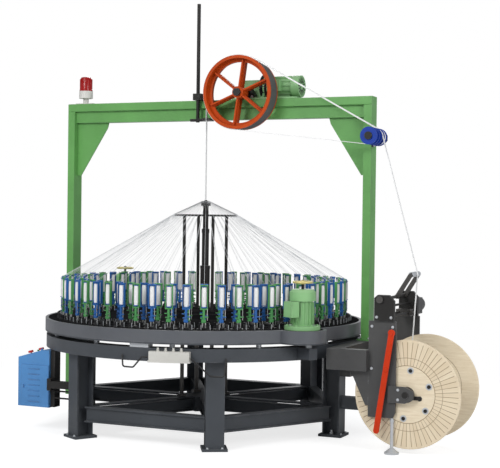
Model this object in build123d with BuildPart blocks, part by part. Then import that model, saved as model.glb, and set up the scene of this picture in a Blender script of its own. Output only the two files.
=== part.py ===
# Round maypole braiding machine that plaits glass-fibre sleeving: a round bed on six legs,
# a ring of yarn carriers, a gantry with a haul-off wheel and a reel take-up at the right.
# Millimetres, +Z up, origin on the floor under the centre of the bed, +X along the gantry.
import os
from math import acos, atan2, cos, degrees, hypot, pi, radians, sin

from build123d import *

os.makedirs("parts", exist_ok=True)

# main sizes that drive the rest
clear = 0.4  # running clearance between bodies that move past each other
leg_count = 6  # legs, and beams and spokes between them
ring_beam_r = 1290  # rolled ring beam, outside
leg_set_in = 72  # leg flange face inside the ring beam
leg_face_r = ring_beam_r - leg_set_in  # outer flange face of a leg from the bed axis
leg_size = 140  # wide flange section, width and depth
leg_flange = 12
leg_web = 8
foot_t = 20  # foot plate
foot_size = 190
anchor_r = 9  # anchor bolt hole
anchor_off = 46  # hole beside the web
leg_top = 645
cap_t = 15  # plate between leg and ring beam
ring_beam_w = 118
ring_beam_h = 98
spacer_h = 30  # gap between ring beam and bed
rim_over = 10  # bed rim beyond the ring beam
rim_r = ring_beam_r + rim_over  # bed rim, outside
rim_wall = 12
rim_h = 102
deck_t = 14  # steel deck with the tracks
base_t = 12
lobe_r = 188  # round lobe of the rim that carries a drive motor
lobe_at = rim_r - 8  # lobe centre from the axis
lobe_angle = -30
gear_count = 56  # horn gears, one quoit over each
track_r = 1100  # circle through the gear centres
groove_w = 9
quoit_h = 5
carrier_h = 330  # deck to top cap
carrier_w = 58
carrier_t = 30
bobbin_r = 16
bobbin_len = 160
phase = 0  # where the carriers stand on the gears, degrees from the radial line
hub_disc_r = 243
hub_disc_h = 62
post_circle_r = 184
post_r = 13
thread_ring_r = 252
thread_ring_z = 1730
thread_bar_w = 12
thread_bar_h = 16
apex_z = 1858
yarn_w = 1.4
beam_z0 = 125  # lower frame beams
beam_h = 120
beam_w = 76
hub_box_r = 150
rod_r = 16
rod_circle_r = 190
gantry_gap = 42  # ring beam to a post
gantry_inner = ring_beam_r + gantry_gap  # inner face of a post from the axis
gantry_front = 92  # front face of the posts
post_w = 66
post_d = 126
gantry_top = 2690
tube_h = 68
lower_beam_h = 96
gusset_w = 312
gusset_h = 460
wheel_r = 300  # haul-off wheel
wheel_w = 150
rim_wall = 24
wheel_z = 2735
pulley_x = gantry_inner + 147
pulley_z = 2356
pulley_r = 68
pulley_core = 58
pulley_pitch = 62  # groove to groove along the shaft
pulley_grooves = 4
take_x = gantry_inner + 280  # edge of the take-up side plates
reel_x = take_x + 289
reel_z = 440
reel_r = 400
reel_y0 = -515
reel_y1 = 45
barrel_r = 120
braid_w = 22  # flattened sleeve
braid_t = 5
motor_r = 88
braid_y2 = -58  # second turn on the wheel

# heights that follow
ring_z0 = leg_top + cap_t
ring_z1 = ring_z0 + ring_beam_h
bed_z0 = ring_z1 + spacer_h
deck_z = bed_z0 + rim_h
gantry_y1 = gantry_front + post_d
gantry_mid = gantry_front + post_d / 2
gantry_outer = gantry_inner + post_w
beam_z1 = beam_z0 + beam_h
low_z0 = gantry_top - tube_h - lower_beam_h
leg_mid_r = leg_face_r - leg_size / 2
gear_pitch = 2 * track_r * sin(pi / gear_count)
UP = (Align.CENTER, Align.CENTER, Align.MIN)


def block(x0, x1, y0, y1, z0, z1, mode=Mode.ADD):
    """A box between two corners."""
    with Locations(((x0 + x1) / 2, (y0 + y1) / 2, (z0 + z1) / 2)):
        Box(abs(x1 - x0), abs(y1 - y0), abs(z1 - z0), mode=mode)


def rod_z(x, y, z0, z1, r, mode=Mode.ADD):
    """A round bar standing up."""
    with Locations((x, y, z0)):
        Cylinder(r, z1 - z0, align=UP, mode=mode)


def rod_y(x, z, y0, y1, r, mode=Mode.ADD):
    """A round bar along Y."""
    with Locations(Location((x, y0, z), (-90, 0, 0))):
        Cylinder(r, y1 - y0, align=UP, mode=mode)


def rod_x(y, z, x0, x1, r, mode=Mode.ADD):
    """A round bar along X."""
    with Locations(Location((x0, y, z), (0, 90, 0))):
        Cylinder(r, x1 - x0, align=UP, mode=mode)


def bar_between(p, q, w, t):
    """A flat bar from p to q, w wide along Y and t thick."""
    along = Vector(*q) - Vector(*p)
    middle = (Vector(*q) + Vector(*p)) * 0.5
    with Locations(Plane(origin=middle, x_dir=along, z_dir=along.cross(Vector(0, 1, 0))).location):
        Box(along.length, w, t)


def plate_xz(points, y0, y1, mode=Mode.ADD):
    """A flat plate with a drawn outline in the XZ plane, between two Y values."""
    with BuildSketch(Plane.XZ.offset(-y1)) as drawn:
        with BuildLine():
            Polyline(*points, close=True)
        make_face()
    extrude(to_extrude=drawn.sketch, amount=y1 - y0, mode=mode)


def finish(built, label):
    built.part.label = label
    export_step(built.part, f"parts/{label}.step")
    print(label, len(built.part.solids()), [round(v) for v in built.part.bounding_box().size])


# lower frame
with BuildPart() as legs:
    with PolarLocations(0, leg_count):
        with Locations((leg_face_r - leg_flange / 2, 0, foot_t)):
            Box(leg_flange, leg_size, leg_top - foot_t, align=UP)
        with Locations((leg_face_r - leg_size + leg_flange / 2, 0, foot_t)):
            Box(leg_flange, leg_size, leg_top - foot_t, align=UP)
        with Locations((leg_mid_r, 0, foot_t)):
            Box(leg_size - 2 * leg_flange, leg_web, leg_top - foot_t, align=UP)
        with Locations((leg_mid_r, 0, leg_top)):
            Box(leg_size, leg_size, cap_t, align=UP)
finish(legs, "legs")

with BuildPart() as foot_plates:
    with PolarLocations(0, leg_count):
        with Locations((leg_mid_r, 0, 0)):
            Box(foot_size, foot_size, foot_t, align=UP)
        with Locations((leg_mid_r, anchor_off, 0)):
            Cylinder(anchor_r, foot_t, align=UP, mode=Mode.SUBTRACT)
finish(foot_plates, "foot_plates")

with BuildPart() as anchor_bolts:
    with PolarLocations(0, leg_count):
        with Locations((leg_mid_r, -anchor_off, foot_t)):
            Cylinder(anchor_r - clear, 32, align=UP)
        with Locations((leg_mid_r, -anchor_off, foot_t)):
            Cylinder(14, 14, align=UP)
finish(anchor_bolts, "anchor_bolts")

with BuildPart() as base_beams:
    # beams between the legs, channelled on their outer side, cut to the legs
    with PolarLocations(leg_mid_r * cos(pi / leg_count), leg_count, start_angle=180 / leg_count):
        with Locations((0, 0, beam_z0)):
            Box(beam_w, 2 * leg_mid_r * sin(pi / leg_count), beam_h, align=UP)
        with Locations((beam_w / 2, 0, beam_z0 + beam_h / 2)):
            Box(30, 2 * leg_mid_r, beam_h - 24, mode=Mode.SUBTRACT)
    with PolarLocations(leg_mid_r, leg_count):
        Box(leg_size, leg_size, 2 * leg_top, mode=Mode.SUBTRACT)
    # spokes to the hub box in the middle
    spoke_out = leg_face_r - leg_size
    with PolarLocations(spoke_out / 2, leg_count):
        with Locations((0, 0, beam_z0)):
            Box(spoke_out, beam_w - 30, beam_h - 24, align=UP)
        with Locations((0, 0, beam_z0), (0, 0, beam_z1 - 12)):
            Box(spoke_out, beam_w, 12, align=UP)
    with BuildSketch(Plane.XY.offset(beam_z0)):
        RegularPolygon(hub_box_r, leg_count, rotation=30)
    extrude(amount=beam_h)
    # ledges that carry the four support rods
    with PolarLocations(rod_circle_r - 40, 4, start_angle=45):
        with Locations((0, 0, beam_z1 - 70)):
            Box(140, 64, 70, align=UP)
    # short outrigger on the leg under the take-up
    block(leg_face_r, leg_face_r + 190, -40, 40, 222, 318)
finish(base_beams, "base_beams")

with BuildPart() as support_rods:
    with PolarLocations(rod_circle_r, 4, start_angle=45):
        with Locations((0, 0, beam_z1 + 18)):
            Cylinder(rod_r, bed_z0 - beam_z1 - 18, align=UP)
        with Locations((0, 0, beam_z1)):
            Box(60, 60, 18, align=UP)
finish(support_rods, "support_rods")

# ring beam and bed
with BuildPart() as ring_beam:
    with Locations((0, 0, ring_z0)):
        Cylinder(ring_beam_r, ring_beam_h, align=UP)
        Cylinder(ring_beam_r - ring_beam_w, ring_beam_h, align=UP, mode=Mode.SUBTRACT)
    with PolarLocations(0, 2, start_angle=lobe_angle):
        with Locations((ring_beam_r + 60, 0, ring_z0 + 14)):
            Box(170, 74, ring_beam_h - 14, align=UP)
finish(ring_beam, "ring_beam")

with BuildPart() as bed_spacers:
    with PolarLocations(ring_beam_r - ring_beam_w / 2, 12, start_angle=15):
        with Locations((0, 0, ring_z1)):
            Cylinder(20, spacer_h, align=UP)
    with PolarLocations(ring_beam_r - 50, 3, start_angle=-86):
        with Locations((0, 0, ring_z1)):
            Box(80, 150, spacer_h, align=UP)
    with PolarLocations(ring_beam_r + 90, 2, start_angle=lobe_angle):
        with Locations((0, 0, ring_z1)):
            Cylinder(24, spacer_h, align=UP)
finish(bed_spacers, "bed_spacers")

with BuildPart() as bed_base:
    with BuildSketch(Plane.XY.offset(bed_z0)):
        Circle(rim_r)
        with PolarLocations(lobe_at, 2, start_angle=lobe_angle):
            Circle(lobe_r)
    extrude(amount=base_t)
finish(bed_base, "bed_base")

with BuildPart() as bed_rim:
    with BuildSketch(Plane.XY.offset(bed_z0 + base_t)) as rim_outline:
        Circle(rim_r)
        with PolarLocations(lobe_at, 2, start_angle=lobe_angle):
            Circle(lobe_r)
        offset(rim_outline.sketch, amount=-rim_wall, mode=Mode.SUBTRACT)
    extrude(amount=rim_h - base_t)
finish(bed_rim, "bed_rim")

with BuildPart() as deck:
    # deck plate inside the rim, with a shallow channel where the carriers run
    with BuildSketch(Plane.XY.offset(deck_z - deck_t)) as deck_outline:
        Circle(rim_r)
        with PolarLocations(lobe_at, 2, start_angle=lobe_angle):
            Circle(lobe_r)
        offset(deck_outline.sketch, amount=-rim_wall, mode=Mode.INTERSECT)
    extrude(amount=deck_t)
    with BuildSketch(Plane.XY.offset(deck_z - quoit_h)):
        Circle(track_r + gear_pitch / 2 + groove_w / 2)
        Circle(track_r - gear_pitch / 2 - groove_w / 2, mode=Mode.SUBTRACT)
    extrude(amount=quoit_h, mode=Mode.SUBTRACT)
finish(deck, "deck")

with BuildPart() as quoits:
    with BuildSketch(Plane.XY.offset(deck_z - quoit_h)):
        with PolarLocations(track_r, gear_count):
            RegularPolygon(gear_pitch / 2 - groove_w / 2, 10)
    extrude(amount=quoit_h)
finish(quoits, "quoits")

with BuildPart() as hub_disc:
    rod_z(0, 0, deck_z, deck_z + 40, hub_disc_r + 26)
    rod_z(0, 0, deck_z + 40, deck_z + hub_disc_h, hub_disc_r)
    with PolarLocations(hub_disc_r + 12, 12):
        with Locations((0, 0, deck_z + 40)):
            Cylinder(7, 8, align=UP)
finish(hub_disc, "hub_disc")

# carriers: on each gear one green and one blue stand opposite each other
green_spots = []
blue_spots = []
for k in range(gear_count):
    at = 360 * k / gear_count
    turn = phase if k % 2 == 0 else 180 - phase
    for spots, extra in ((green_spots, 0), (blue_spots, 180)):
        a = radians(at + turn + extra)
        x = track_r * cos(radians(at)) + gear_pitch / 2 * cos(a)
        y = track_r * sin(radians(at)) + gear_pitch / 2 * sin(a)
        spots.append((x, y, degrees(atan2(y, x)) + 90))

foot_h = 48  # pins under the bracket
bracket_h = 112


def carriers_at(spots):
    """Frames of the carriers: bracket and two posts with a cap, made as one plate with a window."""
    with BuildPart() as one:
        with BuildSketch(Plane.XZ):
            with BuildLine():
                Polyline(
                    (-carrier_w / 2, foot_h), (carrier_w / 2, foot_h), (carrier_w / 2, carrier_h),
                    (-carrier_w / 2, carrier_h), close=True)
            make_face()
            with Locations((0, foot_h + bracket_h + (carrier_h - foot_h - bracket_h - 10) / 2)):
                Rectangle(carrier_w - 16, carrier_h - foot_h - bracket_h - 10, mode=Mode.SUBTRACT)
        extrude(amount=carrier_t / 2, both=True)
        Box(16, 16, foot_h, align=UP)
    return [one.part.moved(Location((x, y, deck_z), (0, 0, a))) for x, y, a in spots]


with BuildPart() as carriers_green:
    add(carriers_at(green_spots))
finish(carriers_green, "carriers_green")

with BuildPart() as carriers_blue:
    add(carriers_at(blue_spots))
finish(carriers_blue, "carriers_blue")

with BuildPart() as bobbins:
    with BuildSketch(Plane.XY.offset(deck_z + foot_h + bracket_h)):
        for x, y, a in green_spots + blue_spots:
            with Locations(Location((x, y, 0), (0, 0, a))):
                RegularPolygon(bobbin_r, 8)
    extrude(amount=bobbin_len)
finish(bobbins, "bobbins")

# yarns: from each cap over the thread ring and in to the point of braiding
fell_r = 27
bend_r = thread_ring_r + thread_bar_w / 2 + 0.8
bend_z = thread_ring_z + thread_bar_h / 2 + 1.4
with BuildPart() as yarns:
    strands = []
    for i, (x, y, a) in enumerate(green_spots + blue_spots):
        turn = Location((0, 0, 0), (0, 0, degrees(atan2(y, x))))
        runs = (
            ((hypot(x, y), deck_z + carrier_h + 1.2), (bend_r, bend_z)),
            ((bend_r + 0.6, bend_z), (fell_r, apex_z - 8)),
        )
        for n, (p, q) in enumerate(runs):
            length = hypot(q[0] - p[0], q[1] - p[1])
            tilt = -degrees(atan2(q[1] - p[1], q[0] - p[0]))
            w = yarn_w - 0.5 * n
            spot = turn * Location((p[0], 0, p[1]), (0, tilt, 0)) * Location((0, -w / 2, -w / 2))
            strands.append(Solid.make_box(length, w, w).moved(spot))
    add(strands)
finish(yarns, "yarns")

# column, thread ring
col_z = deck_z + hub_disc_h
with BuildPart() as column:
    rod_z(0, 0, col_z, 1290, 40)
    rod_z(0, 0, 1290, 1315, 42)
    rod_z(0, 0, 1315, 1586, 29)
    rod_z(0, 0, 1586, 1619, 32)
    rod_z(0, 0, 1619, 1809, 23)
    rod_z(0, 0, 1809, 1837, 40)
    with Locations((0, 0, 1837)):
        Cone(20, 9, apex_z - 1837, align=UP)
finish(column, "column")

with BuildPart() as thread_guide:
    with PolarLocations(post_circle_r, 4, start_angle=45):
        with Locations((0, 0, col_z)):
            Cylinder(post_r, thread_ring_z + 8 - col_z, align=UP)
    with PolarLocations((post_circle_r + thread_ring_r) / 2, 4, start_angle=45):
        with Locations((0, 0, thread_ring_z)):
            Box(thread_ring_r - post_circle_r, 10, 10)
    with Locations((0, 0, thread_ring_z)):
        Cylinder(thread_ring_r + thread_bar_w / 2, thread_bar_h)
    with Locations((0, 0, thread_ring_z)):
        Cylinder(thread_ring_r - thread_bar_w / 2, thread_bar_h, mode=Mode.SUBTRACT)
    with PolarLocations(post_circle_r, 4, start_angle=45):
        with Locations((0, 0, thread_ring_z - 10)):
            Cylinder(post_r, 18, align=UP)
    with PolarLocations((post_circle_r + thread_ring_r) / 2, 4, start_angle=45):
        with Locations((0, 0, thread_ring_z)):
            Box(thread_ring_r - post_circle_r, 10, 10)
finish(thread_guide, "thread_guide")

# gantry
right_z0 = 756  # top of the frame that carries the right post
left_z0 = 142
with BuildPart() as gantry_posts:
    block(gantry_inner, gantry_outer, gantry_front, gantry_y1, right_z0 + 14, gantry_top - tube_h)
    block(gantry_inner - 26, gantry_outer + 12, gantry_front - 14, gantry_y1 + 14, right_z0, right_z0 + 14)
    block(-gantry_outer, -gantry_inner, gantry_front, gantry_y1, left_z0, gantry_top - tube_h)
    block(-gantry_inner, -leg_face_r, 0, gantry_y1 - 20, left_z0 + 20, left_z0 + 140)
    block(-gantry_inner, -leg_face_r, 0, gantry_y1 - 20, 500, 620)
finish(gantry_posts, "gantry_posts")

with BuildPart() as top_tube:
    block(-gantry_outer, gantry_outer, gantry_front, gantry_y1, gantry_top - tube_h, gantry_top)
    fillet(top_tube.edges().filter_by(Axis.X), 6)
finish(top_tube, "top_tube")

with BuildPart() as lower_beam:
    block(-gantry_inner, gantry_inner, gantry_front + 29, gantry_y1 - 17, low_z0, low_z0 + lower_beam_h)
    for s in (-1, 1):
        plate_xz([
            (s * gantry_inner, low_z0 + 4), (s * (gantry_inner - gusset_w), low_z0 + 4),
            (s * (gantry_inner - gusset_w + 14), low_z0 - 48), (s * (gantry_inner - 34), low_z0 - gusset_h),
            (s * gantry_inner, low_z0 - gusset_h)], gantry_mid - 6, gantry_mid + 6)
finish(lower_beam, "lower_beam")

beacon_x = -1258
with BuildPart() as beacon_base:
    block(beacon_x - 85, beacon_x + 85, gantry_mid - 30, gantry_mid + 30, gantry_top, gantry_top + 8)
    rod_z(beacon_x, gantry_mid, gantry_top + 8, gantry_top + 52, 24)
    rod_z(beacon_x, gantry_mid, gantry_top + 52, gantry_top + 116, 60)
finish(beacon_base, "beacon_base")

with BuildPart() as beacon_lens:
    with Locations((beacon_x, gantry_mid, gantry_top + 116)):
        Cone(58, 52, 122, align=UP)
    fillet(beacon_lens.faces().sort_by(Axis.Z)[-1].edges(), 8)
finish(beacon_lens, "beacon_lens")

# sleeve guide on its long rod
rod_x0 = -114
rod_y0 = 60
with BuildPart() as rod_clamp:
    block(rod_x0 - 36, rod_x0 + 36, gantry_front, gantry_y1 - 20, gantry_top, gantry_top + 16)
    block(rod_x0 - 36, rod_x0 + 36, rod_y0 - 26, gantry_front, gantry_top, gantry_top + 54)
    rod_z(rod_x0, rod_y0, gantry_top - 10, gantry_top + 70, 15 + clear, Mode.SUBTRACT)
    rod_y(rod_x0 + 26, gantry_top + 27, rod_y0 - 40, rod_y0 - 26, 8)
finish(rod_clamp, "rod_clamp")

roller_gap = 18
with BuildPart() as guide_rod:
    rod_z(rod_x0, rod_y0, 2505, 3490, 15)
    block(rod_x0 - 66, 30, rod_y0 - 13, rod_y0 + 13, 2512, 2534)
    for s in (-1, 1):
        rod_y(s * roller_gap, 2523, -26, rod_y0 - 13, 5)
        rod_y(s * roller_gap, 2523, -30, -26, 9)
finish(guide_rod, "guide_rod")

for s, name in ((-1, "guide_roller_left"), (1, "guide_roller_right")):
    with BuildPart() as guide_roller:
        rod_y(s * roller_gap, 2523, -25.6, rod_y0 - 13 - clear, 12)
        rod_y(s * roller_gap, 2523, -25.6, rod_y0 - 13 - clear, 5 + clear, Mode.SUBTRACT)
    finish(guide_roller, name)

# haul-off wheel and its drive
wheel_y0 = -78
wheel_y1 = wheel_y0 + wheel_w
wheel_plane = Plane(origin=(wheel_r, wheel_y1, wheel_z), x_dir=(1, 0, 0), z_dir=(0, -1, 0))
with BuildPart() as haul_wheel:
    with BuildSketch(wheel_plane):
        Circle(wheel_r)
        Circle(wheel_r - rim_wall, mode=Mode.SUBTRACT)
    extrude(amount=wheel_w)
    with BuildSketch(wheel_plane.offset(wheel_w - 72)):
        Circle(wheel_r - 12)
        Circle(wheel_r - 52, mode=Mode.SUBTRACT)
    extrude(amount=18)
    with BuildSketch(wheel_plane.offset(14)):
        Circle(wheel_r + 1)
        Circle(wheel_r - 10, mode=Mode.SUBTRACT)
    extrude(amount=wheel_w - 28, mode=Mode.SUBTRACT)
    # tapered spokes, each a flat plate with a rib before and behind it
    for k in range(6):
        along = Location((0, 0, 0), (0, 0, 22 + 60 * k))
        with BuildSketch(wheel_plane.offset(wheel_w - 70)):
            with Locations(along):
                with Locations((wheel_r / 2, 0)):
                    Trapezoid(30, wheel_r - 68, 91, 91, rotation=-90)
        extrude(amount=14)
        with BuildSketch(wheel_plane.offset(24)):
            with Locations(along):
                with Locations((wheel_r / 2, 0)):
                    Rectangle(wheel_r - 70, 12)
        extrude(amount=wheel_w - 54)
    with BuildSketch(wheel_plane.offset(16)):
        Circle(48)
    extrude(amount=wheel_w - 36)
    with BuildSketch(wheel_plane):
        Circle(20)
    extrude(amount=wheel_w, mode=Mode.SUBTRACT)
finish(haul_wheel, "haul_wheel")

with BuildPart() as wheel_tread:
    with BuildSketch(wheel_plane.offset(14)):
        Circle(wheel_r - 1)
        Circle(wheel_r - 10, mode=Mode.SUBTRACT)
    extrude(amount=wheel_w - 28)
finish(wheel_tread, "wheel_tread")

with BuildPart() as wheel_shaft:
    rod_y(wheel_r, wheel_z, wheel_y0, 300, 20)
    with BuildSketch(Plane(origin=(wheel_r, wheel_y0 + 20, wheel_z), x_dir=(1, 0, 0), z_dir=(0, -1, 0))):
        RegularPolygon(34, 6)
    extrude(amount=26)
finish(wheel_shaft, "wheel_shaft")

with BuildPart() as bearing_block:
    plate_xz([
        (wheel_r - 75, gantry_top + 12), (wheel_r + 75, gantry_top + 12), (wheel_r + 75, gantry_top + 34),
        (wheel_r + 42, gantry_top + 92), (wheel_r - 42, gantry_top + 92), (wheel_r - 75, gantry_top + 34)],
        gantry_front + 8, gantry_front + 78)
    rod_y(wheel_r, wheel_z, gantry_front, gantry_front + 90, 20 + clear, Mode.SUBTRACT)
finish(bearing_block, "bearing_block")

gear_y0 = 206
with BuildPart() as haul_gearbox:
    block(180, 760, gantry_front, 352, gantry_top, gantry_top + 12)
    block(200, 420, gear_y0, 344, gantry_top + 12, gantry_top + 168)
    fillet(haul_gearbox.edges().filter_by(Axis.Y).group_by(Axis.Z)[-1], 22)
    rod_y(wheel_r, wheel_z, gear_y0 - 1, 301, 20 + clear, Mode.SUBTRACT)
    rod_x((gear_y0 + 344) / 2, gantry_top + 112, 420, 436, 100)
    block(500, 640, 235, 315, gantry_top + 12, gantry_top + 40)
finish(haul_gearbox, "haul_gearbox")

with BuildPart() as haul_motor:
    motor_y = (gear_y0 + 344) / 2
    motor_z = gantry_top + 112
    rod_x(motor_y, motor_z, 436, 664, 78)
    for k in range(14):
        a = radians(k * 360 / 14)
        with Locations(Location((550, motor_y + 80 * cos(a), motor_z + 80 * sin(a)), (k * 360 / 14, 0, 0))):
            Box(200, 16, 4)
    rod_x(motor_y, motor_z, 664, 730, 90)
    block(470, 580, motor_y - 130, motor_y - 60, motor_z - 45, motor_z + 45)
    block(500, 640, 235, 315, gantry_top - 10, gantry_top + 40, Mode.SUBTRACT)
finish(haul_motor, "haul_motor")

# grooved guide pulley on the right post
groove_y = [-k * pulley_pitch for k in range(pulley_grooves)]
pulley_y1 = pulley_pitch / 2 + 6
pulley_y0 = -(pulley_grooves - 0.5) * pulley_pitch - 6
with BuildPart() as guide_pulley:
    rod_y(pulley_x, pulley_z, pulley_y0, pulley_y1, pulley_core)
    for k in range(pulley_grooves + 1):
        mid = pulley_pitch / 2 - k * pulley_pitch
        rod_y(pulley_x, pulley_z, mid - 6, mid + 6, pulley_r)
    rod_y(pulley_x, pulley_z, pulley_y0 - 1, pulley_y1 + 1, 14 + clear, Mode.SUBTRACT)
finish(guide_pulley, "guide_pulley")

with BuildPart() as pulley_bracket:
    plate_xz([
        (gantry_outer, pulley_z - 70), (pulley_x + 20, pulley_z - 46), (pulley_x + 42, pulley_z - 20),
        (pulley_x + 42, pulley_z + 20), (pulley_x + 20, pulley_z + 46), (gantry_outer, pulley_z + 70)],
        gantry_front + 4, gantry_front + 34)
    rod_y(pulley_x, pulley_z, pulley_y0 - 14, gantry_front + 4, 14)
    rod_y(pulley_x, pulley_z, pulley_y0 - 14, pulley_y0 - clear, 30)
    rod_y(pulley_x, pulley_z, pulley_y1 + clear, gantry_front + 4, 24)
finish(pulley_bracket, "pulley_bracket")

# drive motors on the two lobes, each with a handwheel
motor_at = lobe_at + 8
with BuildPart() as drive_motors:
    with PolarLocations(motor_at, 2, start_angle=lobe_angle):
        with Locations((0, 0, deck_z)):
            Cylinder(134, 30, align=UP)
        with Locations((0, 0, deck_z + 30)):
            Cylinder(motor_r - 12, 184, align=UP)
        with PolarLocations(motor_r - 8, 16):
            with Locations((0, 0, deck_z + 44)):
                Box(18, 4, 160, align=UP)
        with PolarLocations(112, 6):
            with Locations((0, 0, deck_z + 30)):
                Cylinder(10, 8, align=UP)
        with Locations((10, -motor_r - 24, deck_z + 96)):
            Box(94, 72, 116, align=UP)
finish(drive_motors, "drive_motors")

with BuildPart() as fan_covers:
    with PolarLocations(motor_at, 2, start_angle=lobe_angle):
        with Locations((0, 0, deck_z + 214)):
            Cylinder(motor_r + 10, 66, align=UP)
        with Locations((0, 0, deck_z + 280)):
            Cone(motor_r + 10, motor_r - 6, 20, align=UP)
        with Locations((0, 0, deck_z + 214)):
            Cylinder(12, 90, align=UP, mode=Mode.SUBTRACT)
finish(fan_covers, "fan_covers")

for name, turn in (("handwheel_front", lobe_angle), ("handwheel_rear", lobe_angle + 180)):
    hx = motor_at * cos(radians(turn))
    hy = motor_at * sin(radians(turn))
    with BuildPart() as handwheel:
        rod_z(hx, hy, deck_z + 216, deck_z + 372, 11)
        rod_z(hx, hy, deck_z + 336, deck_z + 366, 20)
        rod_z(hx, hy, deck_z + 342, deck_z + 362, 77)
        rod_z(hx, hy, deck_z + 342, deck_z + 362, 61, Mode.SUBTRACT)
        rod_z(hx, hy, deck_z + 216, deck_z + 372, 11)
        rod_z(hx, hy, deck_z + 336, deck_z + 366, 20)
        for k in range(3):
            with Locations(Location((hx, hy, deck_z + 352), (0, 0, 120 * k))):
                with Locations((32, 0, 0)):
                    Box(64, 14, 8)
    finish(handwheel, name)

# control box hung from the ring beam
box_x0 = -1176
box_x1 = -886
box_y0 = -960
box_y1 = -830
box_z0 = 198
box_z1 = 650
box_wall = 4
slope_x = -955
slope_z = 586
slope = degrees(atan2(box_z1 - slope_z, slope_x - box_x0))
door_x0 = -1140
door_x1 = -890
door_z1 = 530
with BuildPart() as cabinet_shell:
    plate_xz([(box_x0, box_z0), (box_x1, box_z0), (box_x1, box_z1), (slope_x, box_z1), (box_x0, slope_z)], box_y0, box_y1)
    w = box_wall
    plate = [
        (box_x0 + w, box_z0 + w), (box_x1 - w, box_z0 + w), (box_x1 - w, box_z1 - w),
        (slope_x + 0.8, box_z1 - w), (box_x0 + w, slope_z - 3)]
    with BuildSketch(Plane.XZ.offset(-(box_y1 - w))) as inside:
        with BuildLine():
            Polyline(*plate, close=True)
        make_face()
    extrude(to_extrude=inside.sketch, amount=box_y1 - box_y0 - 2 * w, mode=Mode.SUBTRACT)
    block(door_x0 + 6, door_x1 - 6, box_y0 - 1, box_y0 + w + 1, box_z0 + 8, door_z1 - 6, Mode.SUBTRACT)
    desk_spots = []
    for bx, by in ((-1085, -915), (-1035, -885), (-1002, -892)):
        bz = box_z1 - (slope_x - bx) * (box_z1 - slope_z) / (slope_x - box_x0)
        spot = Location((bx, by, bz), (0, -slope, 0))
        desk_spots.append(spot)
        with Locations(spot):
            Cylinder(6 + clear, 40, mode=Mode.SUBTRACT)
    bz = box_z1 - (slope_x + 972) * (box_z1 - slope_z) / (slope_x - box_x0)
    with Locations(Location((-972, -932, bz), (0, -slope, 0))):
        Cylinder(10, 28)
finish(cabinet_shell, "cabinet_shell")

for name, spot, cap_r, cap_h in (
        ("emergency_stop", desk_spots[0], 21, 16), ("start_button", desk_spots[1], 11, 8), ("stop_button", desk_spots[2], 21, 16)):
    with BuildPart() as button:
        with Locations(spot):
            with Locations((0, 0, -16)):
                Cylinder(6, 24, align=UP)
            with Locations((0, 0, 8)):
                Cylinder(cap_r, cap_h, align=UP)
        fillet(button.faces().sort_by(Axis.Z)[-1].edges(), 3)
    finish(button, name)

with BuildPart() as cabinet_door:
    block(door_x0, door_x1, box_y0 - 6, box_y0 - clear, box_z0 + 2, door_z1)
    for k in range(7):
        z = box_z0 + 42 + 43 * k
        with Locations(Location((-1026, box_y0 - 8, z), (-30, 0, 0))):
            Box(104, 9, 4)
    rod_y(door_x0 + 18, 360, box_y0 - 20, box_y0 - 6, 9)
    for z in (box_z0 + 40, door_z1 - 100):
        rod_z(door_x1, box_y0 - 6, z, z + 60, 4.5)
finish(cabinet_door, "cabinet_door")

with BuildPart() as cabinet_hanger:
    block(box_x1, box_x1 + 38, -940, -860, box_z0 + 4, ring_z0)
    bar_x1 = -560
    block(box_x1 + 38, bar_x1, -1000, -940, 360, 414)
    block(box_x1 + 4, box_x1 + 38, -1000, -940, 340, 434)
    rod_x(-930, 330, box_x1 + 38, bar_x1, 7)
    rod_x(-930, 275, box_x1 + 38, bar_x1, 7)
    # cut the bars to the profile of the leg that they reach
    with Locations(Location((0, 0, 0), (0, 0, -120))):
        with Locations((leg_face_r - leg_flange / 2, 0, 300), (leg_face_r - leg_size + leg_flange / 2, 0, 300)):
            Box(leg_flange, leg_size, 500, mode=Mode.SUBTRACT)
        with Locations((leg_mid_r, 500 - leg_web / 2, 300)):
            Box(400, 1000, 500, mode=Mode.SUBTRACT)
finish(cabinet_hanger, "cabinet_hanger")

# junction box on the ring beam with its cables
junction_angle = -75
jb = Location((0, 0, 0), (0, 0, junction_angle))
with BuildPart() as junction_box:
    with Locations(jb):
        with Locations((ring_beam_r + 29, 0, 674)):
            Box(58, 300, 66, align=UP)
        with Locations((ring_beam_r + 31, 0, 660)):
            Box(62, 312, 14, align=UP)
        for k in range(4):
            with Locations((ring_beam_r + 30, -87 + 58 * k, 740)):
                Cylinder(11, 12, align=UP)
            with Locations((ring_beam_r + 30, -87 + 58 * k, 752)):
                Cylinder(8, 14, align=UP)
finish(junction_box, "junction_box")

cable_r = 6


def cable(points, bend):
    """One cable along straight runs with rounded corners."""
    with BuildLine() as route:
        FilletPolyline(*[(jb * Location(p)).position for p in points], radius=bend)
    with BuildSketch(Plane(origin=route.wire() @ 0, z_dir=route.wire() % 0)) as section:
        Circle(cable_r)
    print("cable length", round(route.wire().length))
    return sweep(sections=section.sketch, path=route.wire(), mode=Mode.PRIVATE)


with BuildPart() as cables:
    far = ring_beam_r + 36
    add(cable([(far, -156, 696), (far, -205, 696), (far - 6, -270, 618), (far - 40, -356, 618), (1246, -372, 700)], 24))
    add(cable([(far, 156, 696), (far, 222, 640), (far - 20, 300, 566), (far - 50, 396, 560), (1238, 404, 690)], 24))
finish(cables, "cables")

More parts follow.
